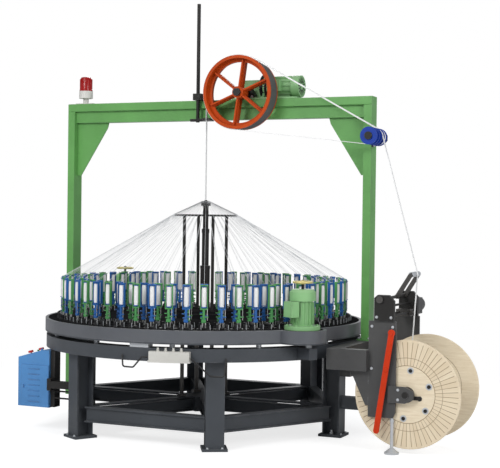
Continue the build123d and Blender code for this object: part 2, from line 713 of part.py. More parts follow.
# take-up at the right
frame_x0 = ring_beam_r + 12
frame_x1 = frame_x0 + 110
near_y = -545
far_y = 55
plate_t = 20
with BuildPart() as take_up_frame:
    block(leg_face_r, frame_x0, -60, 60, 480, ring_z0 - 5)
    block(frame_x0, frame_x1, near_y - 55, 240, 600, right_z0)
    block(frame_x1, take_x, near_y - 55, near_y + plate_t, 600, right_z0)
    block(frame_x1, take_x, far_y, far_y + 80, 600, right_z0)
    plate_xz([(take_x - 142, 601), (take_x, 601), (take_x, 345), (take_x - 22, 345)], near_y, near_y + 12)
    plate_xz([(leg_face_r, 480), (frame_x0, 480), (frame_x1, 601), (frame_x1, 640), (leg_face_r, 640)], -6, 6)
finish(take_up_frame, "take_up_frame")

with BuildPart() as side_plates:
    for y0 in (near_y, far_y):
        plate_xz([
            (take_x, 262), (take_x + 188, 262), (take_x + 208, 300), (take_x + 208, 972),
            (take_x, 972)], y0, y0 + plate_t)
    # arms that hold the ends of the reel shaft
    for y0, y1 in ((near_y - 20, near_y), (far_y + plate_t, far_y + plate_t + 20)):
        plate_xz([
            (take_x + 158, 380), (reel_x, 380), (reel_x + 61, 410), (reel_x + 61, 470), (reel_x, 500),
            (take_x + 158, 500)], y0, y1)
        rod_y(reel_x, reel_z, y0 - 1, y1 + 1, 25 + clear, Mode.SUBTRACT)
finish(side_plates, "side_plates")

pivot_x = take_x + 88
pivot_z = 1130
with BuildPart() as upper_blocks:
    for y0, y1 in ((near_y - 15, near_y + 25), (far_y - 5, far_y + 35)):
        plate_xz([
            (take_x + 43, 972), (take_x + 193, 972), (take_x + 193, 1120), (take_x + 153, 1163),
            (take_x + 68, 1163), (take_x + 43, 1140)], y0, y1)
        rod_y(pivot_x, pivot_z, y0 - 1, y1 + 1, 12 + clear, Mode.SUBTRACT)
    rod_y(take_x + 88, 1005, near_y + 25, far_y - 5, 11)
    rod_y(take_x + 158, 1005, near_y + 25, far_y - 5, 11)
    rod_y(take_x + 123, 1075, near_y + 25, far_y - 5, 9)
finish(upper_blocks, "upper_blocks")

with BuildPart() as take_up_motor:
    block(take_x + 48, take_x + 188, far_y + 35, far_y + 150, 985, 1110)
    rod_y(take_x + 118, 1048, far_y + 150, far_y + 270, 58)
finish(take_up_motor, "take_up_motor")

roll_x = take_x + 200
roll_z = 1300
arm_gap = 98  # sleeve to the arms
with BuildPart() as dancer:
    rod_y(pivot_x, pivot_z, near_y - 32, far_y + 40, 12)
    rod_y(pivot_x, pivot_z, near_y - 32, near_y - 15 - clear, 26)
    for y0 in (braid_y2 - arm_gap - 10, braid_y2 + arm_gap):
        plate_xz([
            (pivot_x - 20, pivot_z - 8), (pivot_x + 16, pivot_z - 17), (roll_x + 15, roll_z - 8),
            (roll_x + 4, roll_z + 16), (roll_x - 16, roll_z + 6)], y0, y0 + 10)
    rod_y(roll_x, roll_z, braid_y2 - arm_gap - 4, braid_y2 + arm_gap + 4, 8)
    # collar that holds the arms apart
    rod_y(pivot_x, pivot_z, braid_y2 - arm_gap, braid_y2 + arm_gap, 17)
finish(dancer, "dancer")

with BuildPart() as dancer_roller:
    rod_y(roll_x, roll_z, braid_y2 - arm_gap + clear, braid_y2 + arm_gap - clear, 20)
    rod_y(roll_x, roll_z, braid_y2 - arm_gap + clear, braid_y2 + arm_gap - clear, 8 + clear, Mode.SUBTRACT)
finish(dancer_roller, "dancer_roller")

with BuildPart() as traverse_carriage:
    block(take_x + 66, take_x + 180, braid_y2 - 40, braid_y2 + 40, 978, 1032)
    for side in (-1, 1):
        y = braid_y2 + 29 * side
        block(take_x + 180, take_x + 194, y - 6, y + 6, 990, 1020)
    rod_y(take_x + 189, 1005, braid_y2 - 35, braid_y2 + 35, 8)
    rod_y(take_x + 88, 1005, braid_y2 - 50, braid_y2 + 50, 11 + clear, Mode.SUBTRACT)
    rod_y(take_x + 158, 1005, braid_y2 - 50, braid_y2 + 50, 11 + clear, Mode.SUBTRACT)
finish(traverse_carriage, "traverse_carriage")

with BuildPart() as reel_flanges:
    for y0, y1 in ((reel_y0, reel_y0 + 20), (reel_y1 - 20, reel_y1)):
        rod_y(reel_x, reel_z, y0, y1, reel_r)
        rod_y(reel_x, reel_z, y0, y1, 25, Mode.SUBTRACT)
finish(reel_flanges, "reel_flanges")

with BuildPart() as reel_barrel:
    rod_y(reel_x, reel_z, reel_y0 + 20, reel_y1 - 20, barrel_r)
    rod_y(reel_x, reel_z, reel_y0 + 20, reel_y1 - 20, 25, Mode.SUBTRACT)
finish(reel_barrel, "reel_barrel")

with BuildPart() as reel_hub:
    rod_y(reel_x, reel_z, near_y - 28, far_y + 48, 25)
    rod_y(reel_x, reel_z, reel_y0 - 24, reel_y0, 58)
    rod_y(reel_x + 96, reel_z - 24, reel_y0 - 8, reel_y0, 18)
    block(reel_x, reel_x + 96, reel_y0 - 8, reel_y0, reel_z - 36, reel_z - 8)
    for k in range(6):
        a = radians(22 + 60 * k)
        rod_y(reel_x + 178 * cos(a), reel_z + 178 * sin(a), reel_y0 - 9, reel_y0, 14)
finish(reel_hub, "reel_hub")

lever_top = (take_x + 185, 890)
lever_end = (take_x + 78, 168)
with BuildPart() as lever:
    mid_y = near_y - 34
    bar_between((lever_top[0], mid_y, lever_top[1]), (lever_end[0], mid_y, lever_end[1]), 12, 42)
    rod_y(lever_top[0], lever_top[1], mid_y - 6, mid_y + 6, 26)
    rod_y(lever_end[0], lever_end[1], mid_y - 6, mid_y + 6, 21)
    rod_y(lever_top[0], lever_top[1], mid_y - 12, near_y - clear, 12)
    rod_y(take_x + 145, 620, mid_y - 14, mid_y - 6, 13)
finish(lever, "lever")

with BuildPart() as levelling_feet:
    for y in (near_y + 10, far_y + 10):
        rod_z(take_x + 184, y, 14, 262, 12)
        rod_z(take_x + 184, y, 0, 14, 54)
        with Locations((take_x + 184, y, 14)):
            Cone(50, 20, 26, align=UP)
        rod_z(take_x + 184, y, 236, 250, 16)
finish(levelling_feet, "levelling_feet")


# the braided sleeve
def tangent(c1, r1, c2, r2, side, crossed=False):
    """Ends of the line that touches two circles in the XZ plane."""
    dx = c2[0] - c1[0]
    dz = c2[1] - c1[1]
    gap = hypot(dx, dz)
    e = (dx / gap, dz / gap)
    n = (-e[1] * side, e[0] * side)
    s = (r1 + r2 if crossed else r1 - r2) / gap
    c = (1 - s * s) ** 0.5
    m = (e[0] * s + n[0] * c, e[1] * s + n[1] * c)
    k = -1 if crossed else 1
    return (c1[0] + r1 * m[0], c1[1] + r1 * m[1]), (c2[0] + k * r2 * m[0], c2[1] + k * r2 * m[1])


def turn_on(centre, y, r, first, last):
    """The sleeve on a wheel of radius r, from the point first clockwise to the point last."""
    cx, cz = centre
    start, end = (degrees(atan2(z - cz, x - cx)) for x, z in (first, last))
    rod_y(cx, cz, y - braid_w / 2, y + braid_w / 2, r + clear + braid_t)
    rod_y(cx, cz, y - braid_w / 2 - 2, y + braid_w / 2 + 2, r + clear, Mode.SUBTRACT)
    lead = 300 / r
    bare = 360 - (start - end) % 360 - 2 * lead
    steps = 10
    reach = (r + 2 * braid_t) / cos(radians(bare / steps / 2))
    fan = [(cx, cz)]
    for n in range(steps + 1):
        a = radians(end - lead - bare * n / steps)
        fan.append((cx + reach * cos(a), cz + reach * sin(a)))
    plate_xz(fan, y - braid_w / 2 - 2, y + braid_w / 2 + 2, Mode.SUBTRACT)


lay = clear + braid_t / 2
wheel_c = (wheel_r, wheel_z)
pulley_c = (pulley_x, pulley_z)
roll_c = (roll_x, roll_z)
reel_c = (reel_x, reel_z)
with BuildPart() as braid:
    length = 0
    # each run: the Y value at its start, at its end, and the two ends in the XZ plane
    runs = [
        (0, 0, ((-lay, apex_z + 4), (-lay, wheel_z))),
        (0, 0, tangent(wheel_c, wheel_r + lay, pulley_c, pulley_core + lay, 1)),
        (braid_y2, 0, tangent(wheel_c, wheel_r + lay, pulley_c, pulley_core + lay, -1)),
        (braid_y2, braid_y2, tangent(wheel_c, wheel_r + lay, pulley_c, pulley_core + lay, 1)),
        (braid_y2, braid_y2, tangent(pulley_c, pulley_core + lay, roll_c, 20 + lay, 1)),
        (braid_y2, braid_y2, tangent(roll_c, 20 + lay, reel_c, barrel_r + lay, 1, True)),
    ]
    up, first_out, back, second_out, down, wound = [ends for y0, y1, ends in runs]
    turn_on(wheel_c, 0, wheel_r, up[1], first_out[0])
    turn_on(pulley_c, 0, pulley_core, first_out[1], back[1])
    turn_on(wheel_c, braid_y2, wheel_r, back[0], second_out[0])
    turn_on(pulley_c, braid_y2, pulley_core, second_out[1], down[0])
    rod_y(reel_x, reel_z, braid_y2 - braid_w / 2, braid_y2 + braid_w / 2, barrel_r + clear + braid_t)
    rod_y(reel_x, reel_z, braid_y2 - braid_w / 2 - 2, braid_y2 + braid_w / 2 + 2, barrel_r + clear, Mode.SUBTRACT)
    for y0, y1, (p, q) in runs:
        bar_between((p[0], y0, p[1]), (q[0], y1, q[1]), braid_w - 1, braid_t - 0.4)
        length += hypot(q[0] - p[0], q[1] - p[1])
    bend_top = down[1]
    bend_low = wound[0]
    bar_between((bend_top[0], braid_y2, bend_top[1] + 2), (bend_low[0], braid_y2, bend_low[1] - 2), braid_w - 2, braid_t - 1)
    print("sleeve straight length", round(length))
print("sleeve sound", braid.part.is_valid, len(braid.part.solids()))
finish(braid, "braid")
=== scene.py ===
# %% [markdown]
# # A round braiding machine for glass-fibre sleeving
# The machine's working parts come from a CAD model that is loaded as a fixed frame. This file dresses that
# frame: it models the carriers, the yarn, the reel and the small fittings, and gives every piece its finish.
# The tools are imported first, then the frame.

# %% Tools and the frame
from math import atan2, cos, pi, radians, sin

import bpy
from mathutils import Matrix, Vector


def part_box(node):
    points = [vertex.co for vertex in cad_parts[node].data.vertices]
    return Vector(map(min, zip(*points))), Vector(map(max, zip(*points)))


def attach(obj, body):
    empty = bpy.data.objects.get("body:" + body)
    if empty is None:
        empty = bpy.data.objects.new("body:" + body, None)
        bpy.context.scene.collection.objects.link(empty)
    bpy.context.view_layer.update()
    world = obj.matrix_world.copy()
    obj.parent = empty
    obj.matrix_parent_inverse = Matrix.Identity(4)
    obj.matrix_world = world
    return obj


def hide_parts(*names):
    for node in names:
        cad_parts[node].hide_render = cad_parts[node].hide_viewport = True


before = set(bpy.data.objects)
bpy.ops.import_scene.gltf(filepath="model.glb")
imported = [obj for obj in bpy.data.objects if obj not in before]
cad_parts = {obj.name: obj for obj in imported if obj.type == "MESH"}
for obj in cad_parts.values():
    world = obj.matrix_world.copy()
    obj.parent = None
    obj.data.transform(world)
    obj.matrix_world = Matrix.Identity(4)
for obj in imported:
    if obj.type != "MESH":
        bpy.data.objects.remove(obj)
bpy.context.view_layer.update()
print("nodes in the frame:", len(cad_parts))

# %% [markdown]
# ## Helpers for modelling by hand
# An operator works on whatever is selected, so each helper clears the selection before it adds a primitive.
# Boxes get a small bevel, because no real steel edge is razor sharp and the bevel catches the light.

# %% Selecting and boxes
def clear_selection():
    if bpy.context.object and bpy.context.object.mode != "OBJECT":
        bpy.ops.object.mode_set(mode="OBJECT")
    bpy.ops.object.select_all(action="DESELECT")


def block(low, high, finish, edge=0.002):
    """A box between two opposite corners, with its edges bevelled."""
    clear_selection()
    middle = [(a + b) / 2 for a, b in zip(low, high)]
    spans = [b - a for a, b in zip(low, high)]
    bpy.ops.mesh.primitive_cube_add(size=1, location=middle, scale=spans)
    piece = bpy.context.object
    bpy.ops.object.transform_apply(location=False, rotation=False, scale=True)
    if edge:
        bpy.ops.object.mode_set(mode="EDIT")
        bpy.ops.mesh.select_all(action="SELECT")
        bpy.ops.mesh.bevel(offset=edge, segments=1, affect="EDGES")
        bpy.ops.object.mode_set(mode="OBJECT")
    piece.data.materials.append(finish)
    return piece


print("box helper ready")

# %% [markdown]
# Rods are cylinders laid between two points, with both rims bevelled. Turned parts, such as knobs, hubs and
# bobbins, are drawn as a half outline that is spun round an axis, as on a lathe.

# %% Rods and turned parts
same_height = 1e-6


def rod(start, end, radius, finish, sides=12, edge=0.0):
    clear_selection()
    start, end = Vector(start), Vector(end)
    along = end - start
    bpy.ops.mesh.primitive_cylinder_add(
        vertices=sides, radius=radius, depth=along.length, location=(start + end) / 2,
        rotation=along.to_track_quat("Z", "Y").to_euler())
    piece = bpy.context.object
    if edge:
        bpy.ops.object.mode_set(mode="EDIT")
        bpy.ops.mesh.select_mode(type="EDGE")
        bpy.ops.mesh.select_all(action="DESELECT")
        bpy.ops.object.mode_set(mode="OBJECT")
        # the edges of the two rims run level, the edges along the side don't
        for line in piece.data.edges:
            a, b = (piece.data.vertices[v].co.z for v in line.vertices)
            line.select = abs(a - b) < same_height
        bpy.ops.object.mode_set(mode="EDIT")
        bpy.ops.mesh.bevel(offset=edge, segments=1, affect="EDGES")
        bpy.ops.object.mode_set(mode="OBJECT")
    piece.data.materials.append(finish)
    return piece


def turned(outline, at, axis, finish, steps=24):
    """Outline is a list of (radius, height), and the height runs along the axis from the point at."""
    clear_selection()
    bpy.ops.mesh.primitive_plane_add(size=0.01)
    piece = bpy.context.object
    bpy.ops.object.mode_set(mode="EDIT")
    bpy.ops.mesh.select_all(action="SELECT")
    bpy.ops.mesh.merge(type="CENTER")
    bpy.ops.transform.translate(value=(outline[0][0], 0, outline[0][1]))
    for (r0, z0), (r1, z1) in zip(outline, outline[1:]):
        bpy.ops.mesh.extrude_region_move(TRANSFORM_OT_translate={"value": (r1 - r0, 0, z1 - z0)})
    bpy.ops.mesh.select_all(action="SELECT")
    bpy.ops.mesh.spin(steps=steps, angle=2 * pi, center=(0, 0, 0), axis=(0, 0, 1))
    bpy.ops.mesh.select_all(action="SELECT")
    bpy.ops.mesh.remove_doubles(threshold=same_height)
    bpy.ops.mesh.normals_make_consistent(inside=False)
    bpy.ops.object.mode_set(mode="OBJECT")
    piece.rotation_euler = Vector(axis).to_track_quat("Z", "Y").to_euler()
    piece.location = at
    piece.data.materials.append(finish)
    return piece


print("rod and lathe helpers ready")

# %% [markdown]
# A part that repeats is modelled once and copied to each place with a mesh of its own. What belongs together
# is then joined, its place is put into the mesh, and it is tied to the body that carries it.

# %% Copies and finished pieces
def copies(pieces, places):
    made = []
    bpy.context.view_layer.update()
    for place in places:
        for piece in pieces:
            twin = piece.copy()
            twin.data = piece.data.copy()
            twin.matrix_world = place @ piece.matrix_world
            bpy.context.collection.objects.link(twin)
            made.append(twin)
    for piece in pieces:
        bpy.data.objects.remove(piece)
    return made


def join_as(name, pieces, body, replaced=(), smooth=35):
    clear_selection()
    for piece in pieces:
        piece.select_set(True)
    bpy.context.view_layer.objects.active = pieces[0]
    if len(pieces) > 1:
        bpy.ops.object.join()
    whole = bpy.context.object
    whole.name = name
    whole.data.name = name
    bpy.ops.object.transform_apply(location=True, rotation=True, scale=True)
    if smooth:
        bpy.ops.object.shade_smooth_by_angle(angle=radians(smooth))
    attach(whole, body)
    if replaced:
        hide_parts(*replaced)
    print(name, "faces:", len(whole.data.polygons))
    return whole


def upright(x, y, z, turn=0.0):
    return Matrix.Translation((x, y, z)) @ Matrix.Rotation(turn, 4, "Z")


def facing(point, direction):
    turned_to = Vector(direction).to_track_quat("Z", "Y").to_matrix().to_4x4()
    return Matrix.Translation(point) @ turned_to


print("copying helpers ready")

# %% [markdown]
# ## Shared effects for the finishes
# Years of use leave the same traces on every painted part: paint rubbed off along the edges, lint and dust on
# faces that look up, and uneven gloss. One node group makes these masks, so each paint only chooses amounts.
# The edge mask compares the true normal with a rounded one from a Bevel node.

# %% A small kit for node trees
def link(tree, a, b):
    tree.links.new(a, b)


def add_node(tree, kind, **values):
    node = tree.nodes.new(kind)
    for key, value in values.items():
        if hasattr(node, key):
            setattr(node, key, value)
        else:
            node.inputs[key.replace("_", " ")].default_value = value
    return node


def sums(tree, operation, a, b=None, clamp=False):
    node = tree.nodes.new("ShaderNodeMath")
    node.operation = operation
    node.use_clamp = clamp
    for socket, value in zip(node.inputs, (a, b)):
        if value is None:
            continue
        if isinstance(value, (int, float)):
            socket.default_value = value
        else:
            link(tree, value, socket)
    return node.outputs[0]


def blend_colours(tree, amount, a, b, way="MIX"):
    node = tree.nodes.new("ShaderNodeMix")
    node.data_type = "RGBA"
    node.blend_type = way
    for socket, value in ((node.inputs[0], amount), (node.inputs[6], a), (node.inputs[7], b)):
        if isinstance(value, (int, float)):
            socket.default_value = value
        elif isinstance(value, tuple):
            socket.default_value = (*value, 1)
        else:
            link(tree, value, socket)
    return node.outputs[2]


def noise(tree, where, scale, detail=3.0, rough=0.55):
    node = tree.nodes.new("ShaderNodeTexNoise")
    node.inputs["Scale"].default_value = scale
    node.inputs["Detail"].default_value = detail
    node.inputs["Roughness"].default_value = rough
    link(tree, where, node.inputs["Vector"])
    return node.outputs[0]


def between(tree, value, low, high, out_low=0.0, out_high=1.0):
    node = tree.nodes.new("ShaderNodeMapRange")
    for socket, limit in zip(node.inputs[1:5], (low, high, out_low, out_high)):
        socket.default_value = limit
    link(tree, value, node.inputs[0])
    return node.outputs[0]


print("node helpers ready")

# %% The wear group and its sockets
wear = bpy.data.node_groups.new("Workshop wear", "ShaderNodeTree")
settings = {
    "Colour": ("NodeSocketColor", (0.5, 0.5, 0.5, 1)),
    "Bare metal": ("NodeSocketColor", (0.3, 0.3, 0.3, 1)),
    "Edge wear": ("NodeSocketFloat", 0.5),
    "Dust": ("NodeSocketFloat", 0.3),
    "Gloss": ("NodeSocketFloat", 0.4),
    "Grain": ("NodeSocketFloat", 60.0),
}
for socket, (kind, start) in settings.items():
    made = wear.interface.new_socket(name=socket, in_out="INPUT", socket_type=kind)
    made.default_value = start
wear.interface.new_socket(name="Colour", in_out="OUTPUT", socket_type="NodeSocketColor")
for socket in ("Roughness", "Metal", "Height"):
    wear.interface.new_socket(name=socket, in_out="OUTPUT", socket_type="NodeSocketFloat")
wear_in = wear.nodes.new("NodeGroupInput")
wear_out = wear.nodes.new("NodeGroupOutput")
where = wear.nodes.new("ShaderNodeTexCoord").outputs["Object"]
surface = wear.nodes.new("ShaderNodeNewGeometry")
print("settings of the group:", ", ".join(settings))

# %% Paint rubbed off along the edges
edge_radius = 0.006
rounded = add_node(wear, "ShaderNodeBevel", samples=4)
rounded.inputs["Radius"].default_value = edge_radius
likeness = wear.nodes.new("ShaderNodeVectorMath")
likeness.operation = "DOT_PRODUCT"
link(wear, rounded.outputs[0], likeness.inputs[0])
link(wear, surface.outputs["Normal"], likeness.inputs[1])
edge_mask = between(wear, likeness.outputs["Value"], 0.97, 0.80)
patchy = between(wear, noise(wear, where, 9, 5, 0.65), 0.46, 0.64)
edge_patches = sums(wear, "MULTIPLY", edge_mask, patchy)
rubbed = sums(wear, "MULTIPLY", edge_patches, wear_in.outputs["Edge wear"], clamp=True)
print("edge mask ready")

# %% Dust on faces that look up
upward = wear.nodes.new("ShaderNodeSeparateXYZ")
link(wear, surface.outputs["Normal"], upward.inputs[0])
lying = between(wear, upward.outputs[2], 0.1, 1.0)
drift = between(wear, noise(wear, where, 4, 6, 0.7), 0.3, 0.75)
settled = sums(wear, "MULTIPLY", sums(wear, "ADD", lying, 0.18), drift)
dusty = sums(wear, "MULTIPLY", settled, wear_in.outputs["Dust"], clamp=True)
print("dust mask ready")

# %% Uneven tone, gloss and grain
shade = between(wear, noise(wear, where, 2.3, 3), 0.3, 0.7, 0.86, 1.1)
stain = between(wear, noise(wear, where, 22, 6, 0.7), 0.60, 0.78, 1.0, 0.72)
tone = sums(wear, "MULTIPLY", shade, stain)
grey = wear.nodes.new("ShaderNodeCombineColor")
for socket in grey.inputs:
    link(wear, tone, socket)
dust_colour = (0.52, 0.50, 0.46)
toned = blend_colours(wear, 1.0, wear_in.outputs["Colour"], grey.outputs[0], "MULTIPLY")
dusted = blend_colours(wear, dusty, toned, dust_colour)
worn_colour = blend_colours(wear, rubbed, dusted, wear_in.outputs["Bare metal"])
link(wear, worn_colour, wear_out.inputs["Colour"])
fine = noise(wear, where, 1.0, 2)
link(wear, wear_in.outputs["Grain"], fine.node.inputs["Scale"])
uneven = between(wear, drift, 0, 1, -0.06, 0.14)
gloss = sums(wear, "ADD", wear_in.outputs["Gloss"], uneven)
dulled = sums(wear, "ADD", gloss, sums(wear, "MULTIPLY", dusty, 0.35), clamp=True)
link(wear, dulled, wear_out.inputs["Roughness"])
link(wear, rubbed, wear_out.inputs["Metal"])
link(wear, sums(wear, "SUBTRACT", fine, sums(wear, "MULTIPLY", rubbed, 0.6)), wear_out.inputs["Height"])
print("wear group nodes:", len(wear.nodes))

# %% [markdown]
# ## Paints and metals
# Each finish places the wear group with its own amounts. Painted metal is not metallic except where the paint
# is gone. Machined steel, brass and zinc are metallic all over and differ in colour and gloss.

# %% One function that mixes a finish
def worked_finish(name, colour, gloss, metal=0.0, edge=0.5, dust=0.3, grain=60.0, bump=0.0004, coat=0.0,
                  shine=0.32):
    finish = bpy.data.materials.new(name)
    finish.use_nodes = True
    tree = finish.node_tree
    skin = tree.nodes["Principled BSDF"]
    group = tree.nodes.new("ShaderNodeGroup")
    group.node_tree = wear
    group.inputs["Colour"].default_value = (*colour, 1)
    group.inputs["Bare metal"].default_value = (0.32, 0.32, 0.33, 1)
    group.inputs["Edge wear"].default_value = edge
    group.inputs["Dust"].default_value = dust
    group.inputs["Gloss"].default_value = gloss
    group.inputs["Grain"].default_value = grain
    link(tree, group.outputs["Colour"], skin.inputs["Base Color"])
    link(tree, group.outputs["Roughness"], skin.inputs["Roughness"])
    link(tree, sums(tree, "MAXIMUM", group.outputs["Metal"], metal), skin.inputs["Metallic"])
    relief = add_node(tree, "ShaderNodeBump", Strength=0.35)
    relief.inputs["Distance"].default_value = bump
    link(tree, group.outputs["Height"], relief.inputs["Height"])
    link(tree, relief.outputs[0], skin.inputs["Normal"])
    skin.inputs["Coat Weight"].default_value = coat
    skin.inputs["Specular IOR Level"].default_value = shine
    return finish


print("finish helper ready")

# %% The machine's paints, metals and plastics
green_paint = worked_finish("Green enamel", (0.120, 0.330, 0.088), 0.38, edge=0.5, dust=0.10, coat=0.05)
pale_green = worked_finish(
    "Pale green enamel", (0.23, 0.46, 0.20), 0.40, edge=0.4, dust=0.25, coat=0.05)
slate_paint = worked_finish("Slate enamel", (0.046, 0.052, 0.060), 0.44, edge=0.5, dust=0.08, coat=0.03)
grey_plate = worked_finish(
    "Dark grey plate", (0.060, 0.060, 0.060), 0.48, metal=0.25, edge=0.7, dust=0.2, grain=180)
rim_paint = worked_finish("Bed rim enamel", (0.086, 0.092, 0.104), 0.40, edge=0.55, dust=0.20, coat=0.1)
blue_paint = worked_finish("Blue enamel", (0.070, 0.23, 0.50), 0.42, edge=0.5, dust=0.12, coat=0.05)
pulley_blue = worked_finish("Pulley blue", (0.010, 0.042, 0.30), 0.40, edge=0.15, dust=0.0, shine=0.2)
# deck and hub disc: near black, rough and without specular reflection
deck_black = worked_finish(
    "Matt near-black deck", (0.012, 0.012, 0.013), 0.9, edge=0.3, dust=0.02, grain=90, shine=0.0)
guard_black = worked_finish(
    "Blackened guard", (0.016, 0.016, 0.017), 0.6, edge=0.5, dust=0.0, grain=200, shine=0.15)
carrier_blue = worked_finish(
    "Carrier blue", (0.022, 0.115, 0.36), 0.42, edge=0.5, dust=0.03, grain=150, shine=0.2)
carrier_green = worked_finish(
    "Carrier green", (0.075, 0.29, 0.090), 0.42, edge=0.5, dust=0.03, grain=150, shine=0.2)
orange_paint = worked_finish(
    "Orange enamel", (0.47, 0.060, 0.006), 0.40, edge=0.12, dust=0.0, shine=0.12)
red_lever = worked_finish("Lever red", (0.52, 0.034, 0.006), 0.40, edge=0.15, dust=0.0, shine=0.15)
black_steel = worked_finish(
    "Blackened steel", (0.018, 0.017, 0.016), 0.46, metal=0.3, edge=0.6, dust=0.06, grain=200)
dark_steel = worked_finish(
    "Dark machined steel", (0.10, 0.095, 0.09), 0.34, metal=0.85, edge=0.4, dust=0.15, grain=240)
bright_steel = worked_finish(
    "Bright steel", (0.62, 0.62, 0.60), 0.27, metal=1.0, edge=0.0, dust=0.1, grain=300)
zinc_plate = worked_finish(
    "Zinc plate", (0.50, 0.52, 0.54), 0.38, metal=0.35, edge=0.0, dust=0.05, grain=240, shine=0.5)
brass = worked_finish("Cast brass", (0.66, 0.56, 0.22), 0.36, metal=0.45, edge=0.0, dust=0.2, grain=220)
beige_paint = worked_finish("Beige enamel", (0.55, 0.54, 0.50), 0.42, edge=0.4, dust=0.15)
white_plastic = worked_finish("White plastic", (0.66, 0.65, 0.61), 0.45, edge=0.0, dust=0.2)
red_plastic = worked_finish("Red plastic", (0.60, 0.02, 0.015), 0.3, edge=0.0, dust=0.05)
green_plastic = worked_finish("Green plastic", (0.02, 0.38, 0.07), 0.3, edge=0.0, dust=0.05)
cable_black = worked_finish(
    "Black cable sheath", (0.014, 0.014, 0.015), 0.5, edge=0.0, dust=0.12, grain=400)
dark_rubber = worked_finish(
    "Rubber tread", (0.075, 0.075, 0.078), 0.7, edge=0.0, dust=0.35, grain=380, bump=0.001)
print("finishes mixed:", len(bpy.data.materials))

# %% [markdown]
# The signal lamp has a red plastic cap. Low roughness, a thin coat and a faint glow of its own colour give it
# the depth of clear plastic, which costs less than real transmission. Its upright ribs are left to the mesh.

# %% Red lamp cap
lamp_red = worked_finish("Red lamp cap", (0.34, 0.006, 0.006), 0.2, edge=0.0, dust=0.0, coat=0.1)
lamp_skin = lamp_red.node_tree.nodes["Principled BSDF"]
lamp_skin.inputs["Emission Color"].default_value = (0.7, 0.01, 0.01, 1)
lamp_skin.inputs["Emission Strength"].default_value = 0.03
print("lamp cap mixed")

# %% [markdown]
# ## Wood, yarn and sleeve
# The reel sides are pale plywood whose outer part is made of narrow radial staves. The pattern is drawn from
# the angle and distance to the reel's own axis, so that it turns with the reel. Grain runs along each stave.

# %% The reel's size and the distance to its axis
reel_low, reel_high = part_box("reel_flanges")
reel_x = (reel_low[0] + reel_high[0]) / 2
reel_y = (reel_low[1] + reel_high[1]) / 2
reel_z = (reel_low[2] + reel_high[2]) / 2
reel_r = (reel_high[0] - reel_low[0]) / 2
reel_half = (reel_high[1] - reel_low[1]) / 2
core_share = 0.525

plywood = bpy.data.materials.new("Stave plywood")
plywood.use_nodes = True
tree = plywood.node_tree
skin = tree.nodes["Principled BSDF"]
place = tree.nodes.new("ShaderNodeTexCoord").outputs["Object"]
spot = tree.nodes.new("ShaderNodeSeparateXYZ")
link(tree, place, spot.inputs[0])
across = sums(tree, "SUBTRACT", spot.outputs[0], reel_x)
up = sums(tree, "SUBTRACT", spot.outputs[2], reel_z)
squares = sums(tree, "ADD", sums(tree, "MULTIPLY", across, across), sums(tree, "MULTIPLY", up, up))
distance = sums(tree, "SQRT", squares)
angle = sums(tree, "ARCTAN2", up, across)
print("reel radius", round(reel_r, 3))

# %% Grain along the staves and across the core
stave_count = 60
stave = sums(tree, "MULTIPLY", angle, stave_count / (2 * pi))
polar = tree.nodes.new("ShaderNodeCombineXYZ")
link(tree, sums(tree, "MULTIPLY", distance, 2.2), polar.inputs[0])
link(tree, sums(tree, "MULTIPLY", stave, 3.0), polar.inputs[1])
link(tree, spot.outputs[1], polar.inputs[2])
long_grain = noise(tree, polar.outputs[0], 3.0, 6, 0.7)
flat_grain = tree.nodes.new("ShaderNodeMapping")
flat_grain.inputs["Scale"].default_value = (3, 3, 26)
link(tree, place, flat_grain.inputs[0])
core_grain = noise(tree, flat_grain.outputs[0], 3.0, 6, 0.7)
from_centre = sums(tree, "ABSOLUTE", sums(tree, "SUBTRACT", spot.outputs[1], reel_y))
outside = between(tree, from_centre, reel_half - 0.016, reel_half - 0.013)
past_core = between(tree, distance, reel_r * core_share, reel_r * 0.53)
in_staves = sums(tree, "MULTIPLY", past_core, outside)
grain_mix = tree.nodes.new("ShaderNodeMix")
link(tree, in_staves, grain_mix.inputs[0])
link(tree, core_grain, grain_mix.inputs[2])
link(tree, long_grain, grain_mix.inputs[3])
grain = between(tree, grain_mix.outputs[0], 0.3, 0.7)
print("staves:", stave_count)

# %% Tone of each stave, seams and grooves
pale = blend_colours(tree, grain, (0.66, 0.545, 0.375), (0.80, 0.70, 0.53))
own = tree.nodes.new("ShaderNodeTexWhiteNoise")
own.noise_dimensions = "1D"
link(tree, sums(tree, "FLOOR", stave), own.inputs["W"])
own_tone = sums(tree, "MULTIPLY", sums(tree, "MULTIPLY", own.outputs[0], in_staves), 0.35)
varied = blend_colours(tree, own_tone, pale, (0.55, 0.42, 0.26))
seam = sums(tree, "ABSOLUTE", sums(tree, "SUBTRACT", sums(tree, "FRACT", stave), 0.5))
rim_band = between(tree, distance, reel_r * 0.955, reel_r * 0.962)
within_rim = sums(tree, "SUBTRACT", 1.0, rim_band)
stave_edge = sums(tree, "MULTIPLY", between(tree, seam, 0.43, 0.46), in_staves)
seam_line = sums(tree, "MULTIPLY", stave_edge, within_rim)
from_ring_a = sums(tree, "ABSOLUTE", sums(tree, "SUBTRACT", distance, reel_r * 0.67))
from_ring_b = sums(tree, "ABSOLUTE", sums(tree, "SUBTRACT", distance, reel_r * 0.527))
ring_a = between(tree, from_ring_a, 0.0022, 0.0012)
ring_b = between(tree, from_ring_b, 0.003, 0.0015)
lines = sums(tree, "MAXIMUM", seam_line, sums(tree, "MAXIMUM", ring_a, ring_b))
wood_colour = blend_colours(tree, sums(tree, "MULTIPLY", lines, 0.8), varied, (0.20, 0.12, 0.05))
link(tree, wood_colour, skin.inputs["Base Color"])
link(tree, between(tree, grain, 0, 1, 0.5, 0.68), skin.inputs["Roughness"])
relief = add_node(tree, "ShaderNodeBump", Strength=0.7)
relief.inputs["Distance"].default_value = 0.002
